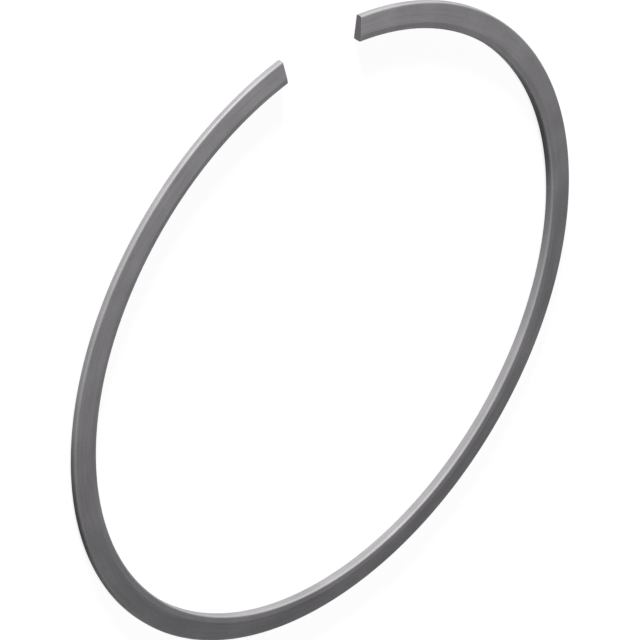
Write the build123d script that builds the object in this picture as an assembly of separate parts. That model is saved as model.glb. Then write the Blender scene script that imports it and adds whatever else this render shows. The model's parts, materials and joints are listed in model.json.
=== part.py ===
from build123d import *
import math
import os

# Internal snap ring, made as one piece from flat spring steel wire.
# Millimetres. The ring lies flat in its free state, with its axis along Z, its flat back face
# at Z = 0, its tapered face up and the middle of its gap towards +Y.

# Driving dimensions of the free ring
free_outer_diameter = 157.0
radial_wall = 6.3
gap_angle = 18.1

# Driving dimensions of the section
thickness = 2.15
rim_thickness = 1.52
land_width = 1.6

# Driving dimensions of the edges
edge_radius = 0.42
end_edge_radius = 0.12

# Derived values
outer_radius = free_outer_diameter / 2
inner_radius = outer_radius - radial_wall
land_outer_radius = inner_radius + land_width
gap_direction = 90
first_end_angle = gap_direction + gap_angle / 2
sweep_angle = 360 - gap_angle
rim_edge_radius = min(edge_radius, rim_thickness * 0.45)
inner_edge_radius = min(edge_radius, thickness * 0.45, land_width * 0.9)
cut_edge_radius = min(end_edge_radius, rim_edge_radius * 0.9)


def section_face():
    """Return the wire's section in the XZ plane, with its outer and inner edges rounded.

    The back is flat. The front has a narrow flat land along the bore, then falls in a straight
    taper to the thinner rim, the edge that seats in the groove.
    """
    with BuildSketch(Plane.XZ) as sketch:
        with BuildLine():
            Polyline(
                (inner_radius, 0),
                (outer_radius, 0),
                (outer_radius, rim_thickness),
                (land_outer_radius, thickness),
                (inner_radius, thickness),
                close=True,
            )
        make_face()
        corners = sketch.vertices().sort_by(Axis.X)
        fillet(corners[:2], inner_edge_radius)
        corners = sketch.vertices().sort_by(Axis.X)
        fillet(corners[-2:], rim_edge_radius)
    return sketch.sketch


def ring_body():
    """Carry the section round the axis, from one side of the gap to the other."""
    body = revolve(section_face(), axis=Axis.Z, revolution_arc=sweep_angle)
    return body.rotate(Axis.Z, first_end_angle)


def is_end_face(face):
    """Tell whether a face is one of the two square cuts that bound the gap."""
    return face.geom_type == GeomType.PLANE and abs(face.normal_at().Z) < 0.01


def round_end_edges(body):
    """Take the sharp edge off the outline of both square ends."""
    end_faces = body.faces().filter_by(is_end_face)
    return fillet(end_faces.edges(), cut_edge_radius)


def snap_ring():
    """Return the finished ring as one solid."""
    return round_end_edges(ring_body())


os.makedirs("parts", exist_ok=True)
export_step(snap_ring(), "parts/snap_ring.step")
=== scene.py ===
import json
import math

import bpy
import numpy as np
from mathutils import Matrix, Vector


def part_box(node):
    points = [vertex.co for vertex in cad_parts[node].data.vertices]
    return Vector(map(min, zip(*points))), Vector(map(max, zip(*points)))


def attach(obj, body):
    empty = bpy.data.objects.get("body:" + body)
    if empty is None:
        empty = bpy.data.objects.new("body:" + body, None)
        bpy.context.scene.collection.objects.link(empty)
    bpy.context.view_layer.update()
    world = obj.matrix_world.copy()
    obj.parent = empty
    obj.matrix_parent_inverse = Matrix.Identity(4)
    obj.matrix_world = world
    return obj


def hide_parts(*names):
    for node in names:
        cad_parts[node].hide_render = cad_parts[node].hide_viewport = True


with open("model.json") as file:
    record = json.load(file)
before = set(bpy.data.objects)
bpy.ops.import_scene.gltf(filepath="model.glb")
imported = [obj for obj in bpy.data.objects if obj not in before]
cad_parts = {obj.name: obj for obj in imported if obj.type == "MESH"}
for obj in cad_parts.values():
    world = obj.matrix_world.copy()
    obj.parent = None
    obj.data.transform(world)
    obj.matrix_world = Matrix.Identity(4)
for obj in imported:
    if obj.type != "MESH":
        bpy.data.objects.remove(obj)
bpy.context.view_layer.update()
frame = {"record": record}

bl_info = {
    "name": "Snap ring",
    "version": (1, 0, 0),
    "blender": (4, 5, 0),
    "location": "View3D > Sidebar > Snap ring",
    "description": "Makes an internal snap ring of flat steel wire, and the studio that shows it",
    "category": "Add Mesh",
}

NODE = "snap_ring"
MM = 0.001


def mount_size(mount_name, key):
    """Return a size that the record states for one of the ring's mounts, in metres."""
    mount = next(m for m in frame["record"]["mounts"] if m["name"] == mount_name)
    return mount["dims"][key] * MM


# The sizes of the wire that the solid's box and the record's mounts give. A mount is as long
# as the straight wall between two rounded edges.
low_corner, high_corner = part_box(NODE)
WIRE_THICKNESS = high_corner[2] - low_corner[2]
EDGE_RADIUS = (WIRE_THICKNESS - mount_size("bore", "length_mm")) / 2
RIM_THICKNESS = mount_size("rim", "length_mm") + 2 * EDGE_RADIUS

# How finely the shapes are drawn: points round each rounded edge and along each straight run
# of the wire's section, sections along the ring and over a cut's rounding, steps from a cut's
# middle to that rounding, and rings and spokes of the floor.
ARC_POINTS = 9
RUN_POINTS = 8
RING_STATIONS = 900
CUT_STATIONS = 5
CAP_STEPS = 4
FLOOR_RINGS = 8
FLOOR_SPOKES = 96

# The evenly spaced sections start this many cut edge radii from the cut.
BODY_MARGIN = 1.5

# How strongly the edges are lightened, partly as rubbed wear and partly as a painted highlight:
# the back's inner and outer one, the rim's and the land's, and those of the cuts. The back's
# edges face away from the lamps and get little of the painted highlight. The lightening fades
# over its width, in edge radii. The mask of a cut, which also darkens the cut ends as painted
# shade, is this power of the sine of the lean, and so fades over the rounding.
LONG_EDGE_WEAR_AND_HIGHLIGHT = np.array([0.2, 0.2, 1.0, 1.0])
CUT_EDGE_WEAR_AND_HIGHLIGHT = 0.4
WEAR_AND_HIGHLIGHT_WIDTH = 0.75
CUT_FADE_POWER = 4

# How large a share each pattern and mask has in what the coat looks like.
COAT_SHARES = {
    "tone": {"marks": 0.4, "crystals": 0.3, "patches": 0.3},
    # The cut mask darkens the sheared ends as painted shade.
    "painted end shade": {"cut": 0.6},
    # The edge mask lightens the edges, partly as burnished wear and partly as a painted
    # highlight.
    "edge wear and painted highlight": {"edge": 0.9},
    "bare spots": {"crystals": 0.5, "patches": 0.5},
    "gloss": {"patches": 0.6, "marks": 0.4, "edge": 0.3},
    "relief": {"marks": 0.7, "crystals": 0.3},
}

# Between which sums of its shares the coat goes from dark to light, from whole to bare and
# from dull to burnished. Noise seldom leaves the middle of its range.
TONE_RANGE = (0.38, 0.62)
BARE_RANGE = (0.35, 0.65)
GLOSS_RANGE = (0.3, 0.9)

# How rough the coat is where it is dull and where it is burnished, and how strongly its
# relief shows and how deep it is.
DULL_ROUGHNESS = 0.64
BURNISHED_ROUGHNESS = 0.36
RELIEF_STRENGTH = 0.25
RELIEF_DEPTH = 0.02 * MM

# The pits between the crystals trap most of what a smooth surface would mirror, so the coat
# has a fifth of the usual mirrored light.
COAT_MIRRORING = 0.1

# The floor's radius, and how far from its middle it starts to fade and is as white as the
# room. Both lamps hang at the same distance from the ring.
FLOOR_RADIUS = 0.8
FADE_START = 0.15
FADE_END = 0.5
LAMP_DISTANCE = 2.4

# The photograph's frame, in pixels, and where the ring lies in it. The photograph is a parallel
# view. Even a long lens widens the ring's near side a little, and the view is turned by this
# angle round the ring's axis, so that the gap still lies where the photograph shows it.
PHOTO_WIDTH = 640
RIM_CENTRE_RIGHT = 3.9
RIM_CENTRE_DOWN = 2.45
RIM_RADIUS_PIXELS = 350.0
VIEW_TURN = math.radians(-0.37)


class SnapRingSizes(bpy.types.PropertyGroup):
    """Sizes of the free ring and of its wire."""

    outer_radius: bpy.props.FloatProperty(
        name="Outer radius",
        description="Radius of the thin rim that seats in the groove, with the ring free",
        default=mount_size("rim", "r_mm"),
        min=1 * MM,
        unit="LENGTH",
    )
    inner_radius: bpy.props.FloatProperty(
        name="Inner radius",
        description="Radius of the ring's inner wall, with the ring free",
        default=mount_size("bore", "r_mm"),
        min=0.5 * MM,
        unit="LENGTH",
    )
    thickness: bpy.props.FloatProperty(
        name="Thickness",
        description="Thickness of the wire at the flat land beside the inner wall",
        default=WIRE_THICKNESS,
        min=0.1 * MM,
        unit="LENGTH",
    )
    rim_thickness: bpy.props.FloatProperty(
        name="Rim thickness",
        description="Thickness of the wire at the outer rim, where the taper ends",
        default=RIM_THICKNESS,
        min=0.1 * MM,
        unit="LENGTH",
    )
    land_width: bpy.props.FloatProperty(
        name="Land width",
        description="Width of the flat land between the inner wall and the taper",
        default=1.6 * MM,
        min=0.1 * MM,
        unit="LENGTH",
    )
    edge_radius: bpy.props.FloatProperty(
        name="Edge radius",
        description="Rounding of the four long edges of the wire",
        default=EDGE_RADIUS,
        min=0.01 * MM,
        unit="LENGTH",
    )
    land_edge_radius: bpy.props.FloatProperty(
        name="Land edge radius",
        description="Soft rounding of the slight corner where the land meets the taper",
        default=1.5 * MM,
        min=0.01 * MM,
        unit="LENGTH",
    )
    cut_edge_radius: bpy.props.FloatProperty(
        name="Cut edge radius",
        description="Rounding of the outline of the two cut ends",
        default=0.12 * MM,
        min=0.01 * MM,
        unit="LENGTH",
    )
    gap_angle: bpy.props.FloatProperty(
        name="Gap angle",
        description="Angle between the two cut ends, with the ring free",
        default=math.radians(18.1),
        min=0.0,
        subtype="ANGLE",
    )


class SnapRingFinish(bpy.types.PropertyGroup):
    """Colours and grain of the phosphated spring steel."""

    coat_dark: bpy.props.StringProperty(
        name="Dark phosphate",
        description="Colour of the darker crystals of the phosphate, as sRGB hex",
        default="#777578",
    )
    coat_light: bpy.props.StringProperty(
        name="Light phosphate",
        description="Colour of the lighter crystals of the phosphate, as sRGB hex",
        default="#8A888B",
    )
    # Partly burnished wear and partly a painted highlight: a lighter colour along the edges.
    edge_wear_and_highlight_colour: bpy.props.StringProperty(
        name="Edge wear and highlight",
        description="Colour of the edges, partly burnished wear and partly painted highlight, as sRGB hex",
        default="#929192",
    )
    # Painted shade: a darker colour on the sheared ends.
    end_shade_colour: bpy.props.StringProperty(
        name="Painted end shade",
        description="Colour painted on the sheared ends as shade, as sRGB hex",
        default="#545254",
    )
    bare_steel: bpy.props.StringProperty(
        name="Bare steel",
        description="Colour of the steel where the coat is rubbed through, as sRGB hex",
        default="#C3C0C0",
    )
    line_spacing: bpy.props.FloatProperty(
        name="Line spacing",
        description="Distance across the wire between the lines left by the drawing die",
        default=0.55 * MM,
        min=0.01 * MM,
        unit="LENGTH",
    )
    line_length: bpy.props.FloatProperty(
        name="Line length",
        description="Length along the wire of one drawing line",
        default=22 * MM,
        min=0.1 * MM,
        unit="LENGTH",
    )
    crystal_size: bpy.props.FloatProperty(
        name="Crystal size",
        description="Size of one patch of phosphate crystals",
        default=0.5 * MM,
        min=0.01 * MM,
        unit="LENGTH",
    )
    coat_patch: bpy.props.FloatProperty(
        name="Coat patch",
        description="Size of the patches where the phosphate lies thicker or thinner",
        default=11 * MM,
        min=0.1 * MM,
        unit="LENGTH",
    )
    wear: bpy.props.FloatProperty(
        name="Edge wear",
        description="Share of bare steel that handling has rubbed free along the edges",
        default=0.05,
        min=0.0,
        max=0.5,
        subtype="FACTOR",
    )


class SnapRingStudio(bpy.types.PropertyGroup):
    """Floor, lamps and lens of the studio."""

    floor_colour: bpy.props.StringProperty(
        name="Floor",
        description="Colour of the floor's paint under its glow, as sRGB hex",
        default="#A4A4A4",
    )
    floor_glow: bpy.props.FloatProperty(
        name="Floor glow",
        description="How white the floor shows of itself near the ring, as a share of the room",
        default=0.84,
        min=0.0,
        max=1.0,
        subtype="FACTOR",
    )
    key_power: bpy.props.FloatProperty(
        name="Key lamp",
        description="Power of the low softbox beyond the gap",
        default=131.0,
        min=0.0,
        unit="POWER",
    )
    fill_power: bpy.props.FloatProperty(
        name="Overhead lamp",
        description="Power of the wide softbox overhead",
        default=21.5,
        min=0.0,
        unit="POWER",
    )
    room_light: bpy.props.FloatProperty(
        name="Room light",
        description="Strength of the even light from all round",
        default=0.015,
        min=0.0,
    )
    lens: bpy.props.FloatProperty(
        name="Lens",
        description="Focal length in millimetres, long enough to show almost no perspective",
        default=1600.0,
        min=50.0,
        unit="CAMERA",
    )


def linear(hex_colour):
    """Turn an sRGB hex colour into linear red, green, blue and alpha, by the sRGB curve."""
    channels = np.array([int(hex_colour[i:i + 2], 16) for i in (1, 3, 5)]) / 255
    low = channels / 12.92
    high = ((channels + 0.055) / 1.055) ** 2.4
    return (*np.where(channels <= 0.04045, low, high).tolist(), 1.0)


def add_node(tree, kind, inputs=None, **settings):
    """Add one node, give it its settings, and set or link its inputs by name or number."""
    node = tree.nodes.new(kind)
    for name, value in settings.items():
        setattr(node, name, value)
    for name, value in (inputs or {}).items():
        if isinstance(value, bpy.types.NodeSocket):
            tree.links.new(value, node.inputs[name])
        else:
            node.inputs[name].default_value = value
    return node


def new_tree(owner):
    """Return the emptied node tree of a material or world."""
    owner.use_nodes = True
    owner.node_tree.nodes.clear()
    return owner.node_tree


def unit(vectors):
    """Return vectors of length one."""
    return vectors / np.linalg.norm(vectors, axis=-1, keepdims=True)


def wire_section(sizes):
    """Return the wire's outline: its places, outward normals, distances and lightened edges.

    The distances run round the closed outline, and say where the edges lie that wear and a
    painted highlight lighten. The outline has five corners. At each, with u and w the unit
    vectors to the corners before and after it and h half the angle between them, the rounding
    of radius r has its centre at corner + (u + w) / |u + w| * r / sin(h), starts r / tan(h)
    before the corner and turns through pi - 2 h. A straight run joins the end of each arc to the
    start of the next. Its point of parameter t lies at (1 - cos(pi t)) / 2 of the way, so that
    the points are close at both ends and the shading of the run stays flat.
    """
    corners = np.array([
        (sizes.inner_radius, 0.0),
        (sizes.outer_radius, 0.0),
        (sizes.outer_radius, sizes.rim_thickness),
        (sizes.inner_radius + sizes.land_width, sizes.thickness),
        (sizes.inner_radius, sizes.thickness),
    ])
    edge, land_edge = sizes.edge_radius, sizes.land_edge_radius
    radii = np.array([edge, edge, edge, land_edge, edge])[:, None]

    before = unit(np.roll(corners, 1, axis=0) - corners)
    after = unit(np.roll(corners, -1, axis=0) - corners)
    half = np.arccos(np.sum(before * after, axis=1, keepdims=True)) / 2
    centres = corners + unit(before + after) * radii / np.sin(half)
    arc_start = corners + before * radii / np.tan(half) - centres
    start_angle = np.arctan2(arc_start[:, 1:], arc_start[:, :1])

    turn = np.linspace(0, 1, ARC_POINTS)[None, :]
    angle = start_angle + turn * (math.pi - 2 * half)
    arc_normals = np.stack([np.cos(angle), np.sin(angle)], axis=2)
    arc_points = centres[:, None, :] + radii[:, :, None] * arc_normals

    run = 0.5 - 0.5 * np.cos(math.pi * np.linspace(0, 1, RUN_POINTS + 2)[1:-1])
    run = run[None, :, None]
    run_start = arc_points[:, -1:, :]
    run_end = np.roll(arc_points[:, :1, :], -1, axis=0)
    run_points = run_start + (run_end - run_start) * run
    run_normals = np.repeat(arc_normals[:, -1:, :], RUN_POINTS, axis=1)

    points = np.concatenate([arc_points, run_points], axis=1).reshape(-1, 2)
    normals = np.concatenate([arc_normals, run_normals], axis=1).reshape(-1, 2)
    steps = np.linalg.norm(np.roll(points, -1, axis=0) - points, axis=1)
    distance = np.concatenate([[0], np.cumsum(steps)])

    # Wear and a painted highlight lighten all edges but the soft fourth one, between taper and
    # land.
    middle_of_arc = distance[:-1].reshape(len(corners), -1)[:, ARC_POINTS // 2]
    lightened_edges = np.delete(middle_of_arc, 3)
    return points, normals, distance, lightened_edges


def end_stations(sizes):
    """Return the sections that close one cut end, from the middle of the cut to the ring's body.

    The cut's face is the section drawn in by the rounding r and shrunk to its centre. Over the
    rounding, with t going from 90 degrees to 0, the section is drawn in by r (1 - cos t) and
    set back from the cut by r (1 - sin t), and its normal leans t from the side to the end.
    """
    radius = sizes.cut_edge_radius
    scale = np.linspace(0, 1, CAP_STEPS + 1)[1:-1]
    lean = np.linspace(math.pi / 2, 0, CUT_STATIONS)
    flat = np.ones_like(scale)
    scale = np.concatenate([scale, np.ones(CUT_STATIONS)])
    drawn_in = np.concatenate([flat * radius, radius * (1 - np.cos(lean))])
    set_back = np.concatenate([flat * 0, radius * (1 - np.sin(lean))])
    lean = np.concatenate([flat * math.pi / 2, lean])
    return scale, drawn_in, set_back, lean


def ring_stations(sizes):
    """Return every section's angle, scale, drawing in, shift and lean, from cut to cut.

    The middle of the gap is towards +Y, at the angle pi / 2. The sections that close a cut
    share its angle. Between them, the angle runs evenly round the ring.
    """
    scale, drawn_in, set_back, lean = end_stations(sizes)
    margin = BODY_MARGIN * sizes.cut_edge_radius / sizes.inner_radius
    half_gap = sizes.gap_angle / 2
    first, last = math.pi / 2 + half_gap, math.pi * 5 / 2 - half_gap

    body_angles = np.linspace(first + margin, last - margin, RING_STATIONS)
    ends, body = np.ones_like(scale), np.ones(RING_STATIONS)
    angle = np.concatenate([first * ends, body_angles, last * ends])
    scale = np.concatenate([scale, body, scale[::-1]])
    drawn_in = np.concatenate([drawn_in, body * 0, drawn_in[::-1]])
    shift = np.concatenate([set_back, body * 0, -set_back[::-1]])
    lean = np.concatenate([-lean, body * 0, lean[::-1]])
    return [values[:, None] for values in (angle, scale, drawn_in, shift, lean)]


def carry_round(points, normals, stations):
    """Carry the section round the ring, and return the sections, their places and normals.

    A section at angle a, scaled about its own middle, drawn in along its normals and shifted
    by s along the ring, has its point of radius q and height z at
    (q cos a - s sin a, q sin a + s cos a, z). The lean turns its normals towards the cut.
    """
    angle, scale, drawn_in, shift, lean = stations
    middle = points.mean(axis=0)
    section = middle + (points - normals * drawn_in[..., None] - middle) * scale[..., None]
    cos, sin = np.cos(angle), np.sin(angle)
    radius, height = section[..., 0], section[..., 1]
    places = np.stack([radius * cos - shift * sin, radius * sin + shift * cos, height], axis=2)

    side, end = np.cos(lean), np.sin(lean)
    out, up = normals[:, 0] * side, normals[:, 1] * side
    surface_normals = np.stack([out * cos - end * sin, out * sin + end * cos, up], axis=2)
    return section, places, surface_normals


def finish_maps(sizes, section, distance, lightened_edges, stations):
    """Return the maps that the finish reads: place in the wire, edge mask, cuts and strip.

    The place is the arc from -X on at the outer radius, the distance out from the inner wall
    and the height. At the distance d from a long edge, round the section, the edge mask is
    exp(-(d / w)^2), with w its width; it lightens the edges as wear and as a painted highlight.
    On a cut's edge it is the sine of twice the lean, which is 1 in the middle of the rounding.
    The cut mask places the shear marks and darkens the cut ends as painted shade. The strip is
    the wire's surface, unrolled.
    """
    angle, _, _, shift, lean = stations
    radius, height = section[..., 0], section[..., 1]
    along = np.broadcast_to((angle - math.pi) * sizes.outer_radius + shift, radius.shape)
    wire = np.stack([along, radius - sizes.inner_radius, height], axis=2)

    from_edge = np.abs(distance[:-1, None] - lightened_edges[None, :])
    from_edge = np.minimum(from_edge, distance[-1] - from_edge)
    from_edge = from_edge / (WEAR_AND_HIGHLIGHT_WIDTH * sizes.edge_radius)
    edge = (np.exp(-from_edge ** 2) * LONG_EDGE_WEAR_AND_HIGHLIGHT).max(axis=1) * np.cos(lean)
    edge = np.maximum(edge, np.sin(2 * np.abs(lean)) * CUT_EDGE_WEAR_AND_HIGHLIGHT)
    cut = np.abs(np.sin(lean)) ** CUT_FADE_POWER * np.ones_like(radius)
    strip = np.stack([along, np.broadcast_to(distance[:-1], radius.shape)], axis=2)
    return wire, edge, cut, strip


def grid_faces(stations, round_points):
    """Return the four-sided faces between closed rows of points, and the fans at both ends.

    Point j of row i has number i * round_points + j, and the two poles come last.
    """
    number = np.arange(stations * round_points).reshape(stations, round_points)
    following = np.roll(number, -1, axis=1)
    quads = np.stack([number[:-1], number[1:], following[1:], following[:-1]], axis=2)
    first_pole = np.full(round_points, stations * round_points)
    last_pole = first_pole + 1
    first_fan = np.stack([first_pole, number[0], following[0]], axis=1)
    last_fan = np.stack([last_pole, following[-1], number[-1]], axis=1)
    return quads.reshape(-1, 4).tolist(), first_fan.tolist(), last_fan.tolist()


def with_poles(values):
    """Return the values of all rows as one list, with the means of the first and last row."""
    flat = values.reshape(-1, values.shape[-1])
    return np.concatenate([flat, values[:1].mean(axis=1), values[-1:].mean(axis=1)])


def ring_mesh(sizes):
    """Make the closed mesh of the ring, with its normals and the maps that its finish reads."""
    points, normals, distance, lightened_edges = wire_section(sizes)
    stations = ring_stations(sizes)
    section, places, surface_normals = carry_round(points, normals, stations)
    wire, edge, cut, strip = finish_maps(sizes, section, distance, lightened_edges, stations)
    quads, first_fan, last_fan = grid_faces(*places.shape[:2])
    mesh = bpy.data.meshes.new(NODE + "_wire")
    mesh.from_pydata(with_poles(places), [], quads + first_fan + last_fan)
    mesh.shade_smooth()

    wire_map = mesh.attributes.new("wire", "FLOAT_VECTOR", "POINT")
    wire_map.data.foreach_set("vector", with_poles(wire).ravel())
    for name, values in (("edge", edge), ("cut", cut)):
        mask = mesh.attributes.new(name, "FLOAT", "POINT")
        mask.data.foreach_set("value", with_poles(values[..., None]).ravel())
    strip_map = mesh.uv_layers.new(name="strip")
    corner_points = np.empty(len(mesh.loops), dtype=np.int32)
    mesh.loops.foreach_get("vertex_index", corner_points)
    strip_map.uv.foreach_set("vector", with_poles(strip)[corner_points].ravel())
    mesh.normals_split_custom_set_from_vertices(unit(with_poles(surface_normals)).tolist())
    mesh.validate()
    return mesh


def coat_patterns(tree, finish):
    """Return the coat's patterns and masks, which follow the wire, by their names.

    The real lines are a few hundredths of a millimetre apart, too fine to show, and so are
    the crystals. Both are drawn as coarse as they need to be to show. The lines run along the
    wire. On the cuts, the marks of the shear run up from the back instead. Each pattern has
    the size of its features along the wire, across it and up, a number of finer layers, and
    the strength of each layer as a share of the one before.
    """
    wire = add_node(tree, "ShaderNodeAttribute", attribute_name="wire").outputs["Vector"]
    edge = add_node(tree, "ShaderNodeAttribute", attribute_name="edge").outputs["Fac"]
    cut = add_node(tree, "ShaderNodeAttribute", attribute_name="cut").outputs["Fac"]
    patterns = {"edge": edge, "cut": cut}

    spacing, length = finish.line_spacing, finish.line_length
    grain = (finish.crystal_size,) * 3
    patch = (finish.coat_patch,) * 3
    for name, size, layers, layer_share in (
        ("lines", (length, spacing, spacing), 5.0, 0.65),
        ("crystals", grain, 5.0, 0.7),
        ("patches", patch, 2.0, 0.5),
        ("shear", (spacing, spacing, length), 5.0, 0.65),
    ):
        place = add_node(tree, "ShaderNodeMapping", {
            "Vector": wire,
            "Scale": tuple(1 / s for s in size),
        })
        noise = add_node(tree, "ShaderNodeTexNoise", {
            "Vector": place.outputs[0],
            "Scale": 1.0,
            "Detail": layers,
            "Roughness": layer_share,
        })
        patterns[name] = noise.outputs["Fac"]

    marks = add_node(tree, "ShaderNodeMix", {
        "Factor": cut,
        "A": patterns["lines"],
        "B": patterns["shear"],
    })
    patterns["marks"] = marks.outputs[0]
    return patterns


def weighted_sum(tree, patterns, shares):
    """Add up patterns, each times its share."""
    total = 0.0
    for name, share in shares.items():
        addition = add_node(tree, "ShaderNodeMath", {
            0: patterns[name],
            1: share,
            2: total,
        }, operation="MULTIPLY_ADD")
        total = addition.outputs[0]
    return total


def phosphated_spring_steel(finish):
    """Spring steel wire, drawn flat, hardened and phosphated.

    To the eye it is an even matt grey with a trace of violet. The phosphate's crystals give it
    a fine grain, the drawing die's lines show faintly along the wire, and the coat lies thicker
    and thinner in patches. The coarse sheared ends are painted darker, as painted shade. The
    edges are painted lighter, partly as burnished wear and partly as a painted highlight, a thin
    bright line with some bare steel in it.
    """
    material = bpy.data.materials.new("phosphated_spring_steel")
    tree = new_tree(material)
    patterns = coat_patterns(tree, finish)
    sums = {name: weighted_sum(tree, patterns, shares) for name, shares in COAT_SHARES.items()}

    tone = add_node(tree, "ShaderNodeMapRange", {
        "Value": sums["tone"],
        "From Min": TONE_RANGE[0],
        "From Max": TONE_RANGE[1],
    })
    # The noise lies above the middle of its range as often as below it, so bare steel that
    # goes up to twice the wear has the wear as its mean.
    bare_spots = add_node(tree, "ShaderNodeMapRange", {
        "Value": sums["bare spots"],
        "From Min": BARE_RANGE[0],
        "From Max": BARE_RANGE[1],
        "To Max": finish.wear * 2,
    }, interpolation_type="SMOOTHSTEP")
    bare = add_node(tree, "ShaderNodeMath", {
        0: patterns["edge"],
        1: bare_spots.outputs[0],
    }, operation="MULTIPLY")

    colour = linear(finish.coat_dark)
    for factor, covering in (
        (tone.outputs[0], finish.coat_light),
        # Painted shade on the sheared ends.
        (sums["painted end shade"], finish.end_shade_colour),
        # Burnished wear and a painted highlight along the edges.
        (sums["edge wear and painted highlight"], finish.edge_wear_and_highlight_colour),
        (bare.outputs[0], finish.bare_steel),
    ):
        covered = add_node(tree, "ShaderNodeMix", {
            "Factor": factor,
            "A": colour,
            "B": linear(covering),
        }, data_type="RGBA")
        colour = covered.outputs["Result"]

    roughness = add_node(tree, "ShaderNodeMapRange", {
        "Value": sums["gloss"],
        "From Min": GLOSS_RANGE[0],
        "From Max": GLOSS_RANGE[1],
        "To Min": DULL_ROUGHNESS,
        "To Max": BURNISHED_ROUGHNESS,
    })
    bump = add_node(tree, "ShaderNodeBump", {
        "Height": sums["relief"],
        "Strength": RELIEF_STRENGTH,
        "Distance": RELIEF_DEPTH,
    })
    shader = add_node(tree, "ShaderNodeBsdfPrincipled", {
        "Base Color": colour,
        "Metallic": bare.outputs[0],
        "Roughness": roughness.outputs[0],
        "Specular IOR Level": COAT_MIRRORING,
        "Normal": bump.outputs[0],
    })
    add_node(tree, "ShaderNodeOutputMaterial", {"Surface": shader.outputs[0]})
    return material


def seen_directly(tree):
    """Return 1 for rays from the camera, a reflection or glass, and 0 for other light."""
    path = add_node(tree, "ShaderNodeLightPath")
    seen = path.outputs["Is Camera Ray"]
    for ray in ("Is Glossy Ray", "Is Transmission Ray"):
        either = add_node(tree, "ShaderNodeMath", {
            0: seen,
            1: path.outputs[ray],
        }, operation="MAXIMUM")
        seen = either.outputs[0]
    return seen


def white_painted_board(studio):
    """Board painted matt white, with no gloss, so that it shows the ring's shadow and no image.

    Its paint is grey to the lamps, so that it throws little light back up at the ring, and a
    glow that only the camera and reflections see makes it pale. Away from the ring the glow
    rises to the white of the room.
    """
    material = bpy.data.materials.new("white_painted_board")
    tree = new_tree(material)
    place = add_node(tree, "ShaderNodeTexCoord").outputs["Object"]
    from_middle = add_node(tree, "ShaderNodeVectorMath", {0: place}, operation="LENGTH")
    glow = add_node(tree, "ShaderNodeMapRange", {
        "Value": from_middle.outputs["Value"],
        "From Min": FADE_START,
        "From Max": FADE_END,
        "To Min": studio.floor_glow,
        "To Max": 1.0,
    }, interpolation_type="SMOOTHSTEP")
    strength = add_node(tree, "ShaderNodeMath", {
        0: glow.outputs[0],
        1: seen_directly(tree),
    }, operation="MULTIPLY")
    white = add_node(tree, "ShaderNodeEmission", {"Strength": strength.outputs[0]})
    paint = add_node(tree, "ShaderNodeBsdfDiffuse", {"Color": linear(studio.floor_colour)})
    both = add_node(tree, "ShaderNodeAddShader", {0: white.outputs[0], 1: paint.outputs[0]})
    add_node(tree, "ShaderNodeOutputMaterial", {"Surface": both.outputs[0]})
    return material


def white_room(studio):
    """Room that is white to the camera and in reflections, and gives an even weak light."""
    world = bpy.data.worlds.new("white_room")
    tree = new_tree(world)
    strength = add_node(tree, "ShaderNodeMix", {
        "Factor": seen_directly(tree),
        "A": studio.room_light,
        "B": 1.0,
    })
    room = add_node(tree, "ShaderNodeBackground", {
        "Color": (1.0, 1.0, 1.0, 1.0),
        "Strength": strength.outputs[0],
    })
    add_node(tree, "ShaderNodeOutputWorld", {"Surface": room.outputs[0]})
    return world


def make_floor(studio):
    """Make the round floor under the ring.

    It is a flat grid, whose point of radius r and angle a lies at (r cos a, r sin a, 0), with
    a pole in its middle.
    """
    radius = np.linspace(0, FLOOR_RADIUS, FLOOR_RINGS + 1)[1:, None]
    angle = np.linspace(0, 2 * math.pi, FLOOR_SPOKES + 1)[None, :-1]
    rings = np.stack([radius * np.cos(angle), radius * np.sin(angle), 0 * radius * angle], axis=2)
    points = np.concatenate([rings.reshape(-1, 3), [[0, 0, 0]]])
    quads, middle_fan, _ = grid_faces(FLOOR_RINGS, FLOOR_SPOKES)
    mesh = bpy.data.meshes.new("floor")
    mesh.from_pydata(points, [], quads + middle_fan)
    mesh.materials.append(white_painted_board(studio))
    floor = bpy.data.objects.new("floor", mesh)
    bpy.context.scene.collection.objects.link(floor)


def make_softbox(name, power, azimuth, elevation, width, height):
    """Hang a rectangular lamp, facing the ring, in the direction that two angles in degrees give.

    At azimuth a, from +X towards +Y, and elevation e above the floor, the lamp's direction is
    (cos a cos e, sin a cos e, sin e).
    """
    a, e = math.radians(azimuth), math.radians(elevation)
    towards_lamp = Vector((math.cos(a) * math.cos(e), math.sin(a) * math.cos(e), math.sin(e)))
    lamp = bpy.data.lights.new(name, "AREA")
    lamp.shape = "RECTANGLE"
    lamp.size, lamp.size_y = width, height
    lamp.energy = power
    softbox = bpy.data.objects.new(name, lamp)
    softbox.location = towards_lamp * LAMP_DISTANCE
    softbox.rotation_euler = (-towards_lamp).to_track_quat("-Z", "Y").to_euler()
    bpy.context.scene.collection.objects.link(softbox)


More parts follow.
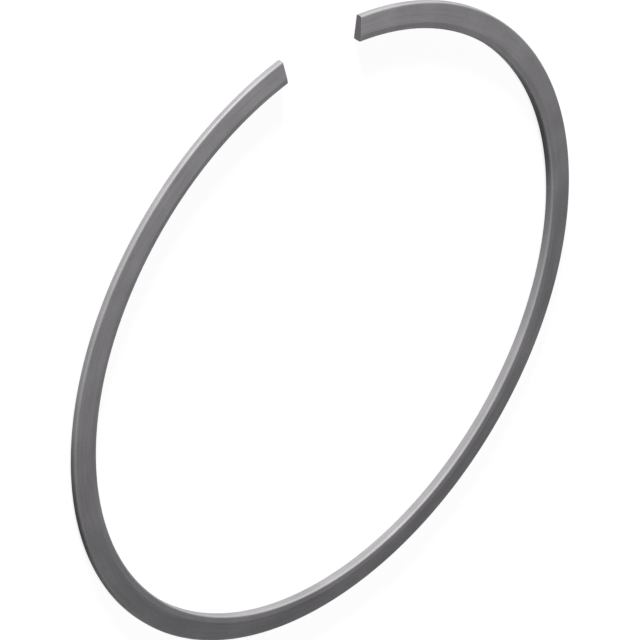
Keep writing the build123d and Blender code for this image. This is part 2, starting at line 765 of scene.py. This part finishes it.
def make_camera(sizes, studio):
    """Place the camera that gives the photograph's view.

    Apart from the small turn, the view is isometric: the camera looks along one diagonal of a
    cube whose edges are the ring's three axes, with +Y up in the picture, +X to the upper
    right and +Z to the lower right. One pixel is the outer radius over its length in pixels,
    and a lens of length f on a sensor of width s shows a width w from the distance w f / s.
    """
    turn = Matrix.Rotation(VIEW_TURN, 3, "Z")
    right = turn @ Vector((1, 0, 1)).normalized()
    back = turn @ Vector((-1, 1, 1)).normalized()
    up = back.cross(right)
    pixel = sizes.outer_radius / RIM_RADIUS_PIXELS
    rim_centre = Vector((0, 0, sizes.rim_thickness))
    target = rim_centre - right * RIM_CENTRE_RIGHT * pixel + up * RIM_CENTRE_DOWN * pixel

    lens = bpy.data.cameras.new("camera")
    lens.lens = studio.lens
    distance = PHOTO_WIDTH * pixel * lens.lens / lens.sensor_width
    lens.clip_end = distance * 2
    camera = bpy.data.objects.new("camera", lens)
    facing = Matrix((right, up, back)).transposed().to_4x4()
    camera.matrix_world = Matrix.Translation(target + back * distance) @ facing
    bpy.context.scene.collection.objects.link(camera)
    bpy.context.scene.camera = camera


class SNAPRING_OT_make_ring(bpy.types.Operator):
    """Make the ring's wire in place of the plain solid"""

    bl_idname = "snapring.make_ring"
    bl_label = "Make the ring"

    def execute(self, context):
        mesh = ring_mesh(context.scene.snap_ring_sizes)
        mesh.materials.append(phosphated_spring_steel(context.scene.snap_ring_finish))
        ring = bpy.data.objects.new(NODE + "_wire", mesh)
        context.scene.collection.objects.link(ring)
        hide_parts(NODE)
        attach(ring, "root")
        return {"FINISHED"}


class SNAPRING_OT_make_studio(bpy.types.Operator):
    """Make the floor, the lamps, the room and the camera"""

    bl_idname = "snapring.make_studio"
    bl_label = "Make the studio"

    def execute(self, context):
        studio = context.scene.snap_ring_studio
        make_floor(studio)
        make_softbox(
            "key_softbox",
            studio.key_power,
            azimuth=98,
            elevation=6,
            width=0.6,
            height=0.4,
        )
        make_softbox(
            "overhead_softbox",
            studio.fill_power,
            azimuth=-45,
            elevation=70,
            width=0.9,
            height=0.9,
        )
        context.scene.world = white_room(studio)
        make_camera(context.scene.snap_ring_sizes, studio)
        context.scene.view_settings.view_transform = "Standard"
        return {"FINISHED"}


class SNAPRING_PT_panel(bpy.types.Panel):
    """Sizes, finish and studio of the snap ring"""

    bl_idname = "SNAPRING_PT_panel"
    bl_label = "Snap ring"
    bl_space_type = "VIEW_3D"
    bl_region_type = "UI"
    bl_category = "Snap ring"

    def draw(self, context):
        groups = (
            context.scene.snap_ring_sizes,
            context.scene.snap_ring_finish,
            context.scene.snap_ring_studio,
        )
        for group in groups:
            box = self.layout.box()
            for name in group.__annotations__:
                box.prop(group, name)
        self.layout.operator(SNAPRING_OT_make_ring.bl_idname)
        self.layout.operator(SNAPRING_OT_make_studio.bl_idname)


CLASSES = (
    SnapRingSizes,
    SnapRingFinish,
    SnapRingStudio,
    SNAPRING_OT_make_ring,
    SNAPRING_OT_make_studio,
    SNAPRING_PT_panel,
)


def register():
    """Register the classes and give the scene its settings."""
    for cls in CLASSES:
        bpy.utils.register_class(cls)
    bpy.types.Scene.snap_ring_sizes = bpy.props.PointerProperty(type=SnapRingSizes)
    bpy.types.Scene.snap_ring_finish = bpy.props.PointerProperty(type=SnapRingFinish)
    bpy.types.Scene.snap_ring_studio = bpy.props.PointerProperty(type=SnapRingStudio)


def unregister():
    """Take the settings and the classes away again."""
    del bpy.types.Scene.snap_ring_studio
    del bpy.types.Scene.snap_ring_finish
    del bpy.types.Scene.snap_ring_sizes
    for cls in reversed(CLASSES):
        bpy.utils.unregister_class(cls)


def main():
    """Make everything in order."""
    register()
    bpy.ops.snapring.make_studio()
    bpy.ops.snapring.make_ring()


if __name__ == "__main__":
    main()
